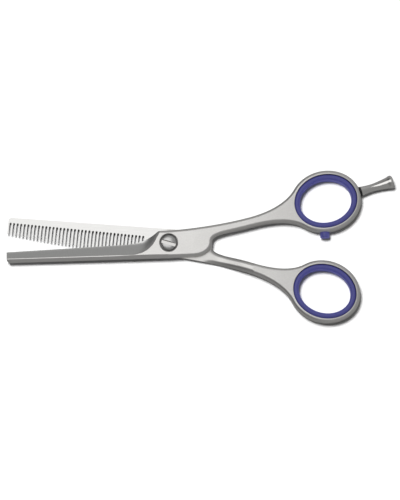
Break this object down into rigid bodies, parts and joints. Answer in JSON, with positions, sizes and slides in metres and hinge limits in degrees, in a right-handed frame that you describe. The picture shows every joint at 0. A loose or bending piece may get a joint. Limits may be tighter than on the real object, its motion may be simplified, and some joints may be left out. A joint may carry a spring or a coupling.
{
  "type": "thinning shears",
  "caption": "Hairdressing thinning shears: one plain and one toothed steel blade on a slotted pivot screw, ring handles with plastic inserts, screw-in finger rest and bumper.",
  "frame": {"origin": "on the pivot axis, in the plane that the shears lie on: the pivot screw's flat end, flush with the back of the thinning half", "axes": "+X towards the finger and thumb rings, -X towards the blade tips, +Z along the pivot axis towards the screw head; the shears lie flat on XY"},
  "size_m": [0.1394, 0.0554, 0.0051],
  "materials": {
    "blade_steel": "satin ground stainless steel, polished inner faces",
    "screw_steel": "turned and polished steel",
    "rest_steel": "turned and polished steel",
    "blue_plastic": "smooth moulded plastic",
    "black_plastic": "matt moulded plastic",
    "white_nylon": "natural nylon"
  },
  "bodies": {
    "cutting_half": {"cutting_blade_half": "blade_steel", "finger_ring_insert": "blue_plastic", "bumper": "blue_plastic", "pivot_washer": "white_nylon"},
    "thinning_half": {"thinning_blade_half": "blade_steel", "thumb_ring_insert": "blue_plastic"},
    "pivot_screw": {"pivot_screw": "screw_steel"},
    "rest_washer": {"finger_rest_washer": "black_plastic"},
    "finger_rest": {"finger_rest": "rest_steel"}
  },
  "joints": [
    {"name": "blade_pivot", "type": "hinge", "parent": "cutting_half", "child": "thinning_half", "pos_m": [0, 0, 0.0024], "axis": [0, 0, 1], "range_deg": [-135, 8.5]},
    {"name": "tension_screw", "type": "hinge", "parent": "thinning_half", "child": "pivot_screw", "pos_m": [0, 0, 0.0024], "axis": [0, 0, 1], "range_deg": [-45, 45]},
    {"name": "finger_rest_slide", "type": "slide", "parent": "cutting_half", "child": "rest_washer", "axis": [0.953, 0.303, 0], "range_m": [0, 0.001]},
    {"name": "finger_rest_turn", "type": "hinge", "parent": "rest_washer", "child": "finger_rest", "pos_m": [0.06867, 0.01897, 0.0024], "axis": [0.953, 0.303, 0], "range_deg": [0, 901]}
  ],
  "couplings": [
    {"joint": "finger_rest_turn", "follows": "finger_rest_slide", "rad_per_m": 15708}
  ]
}
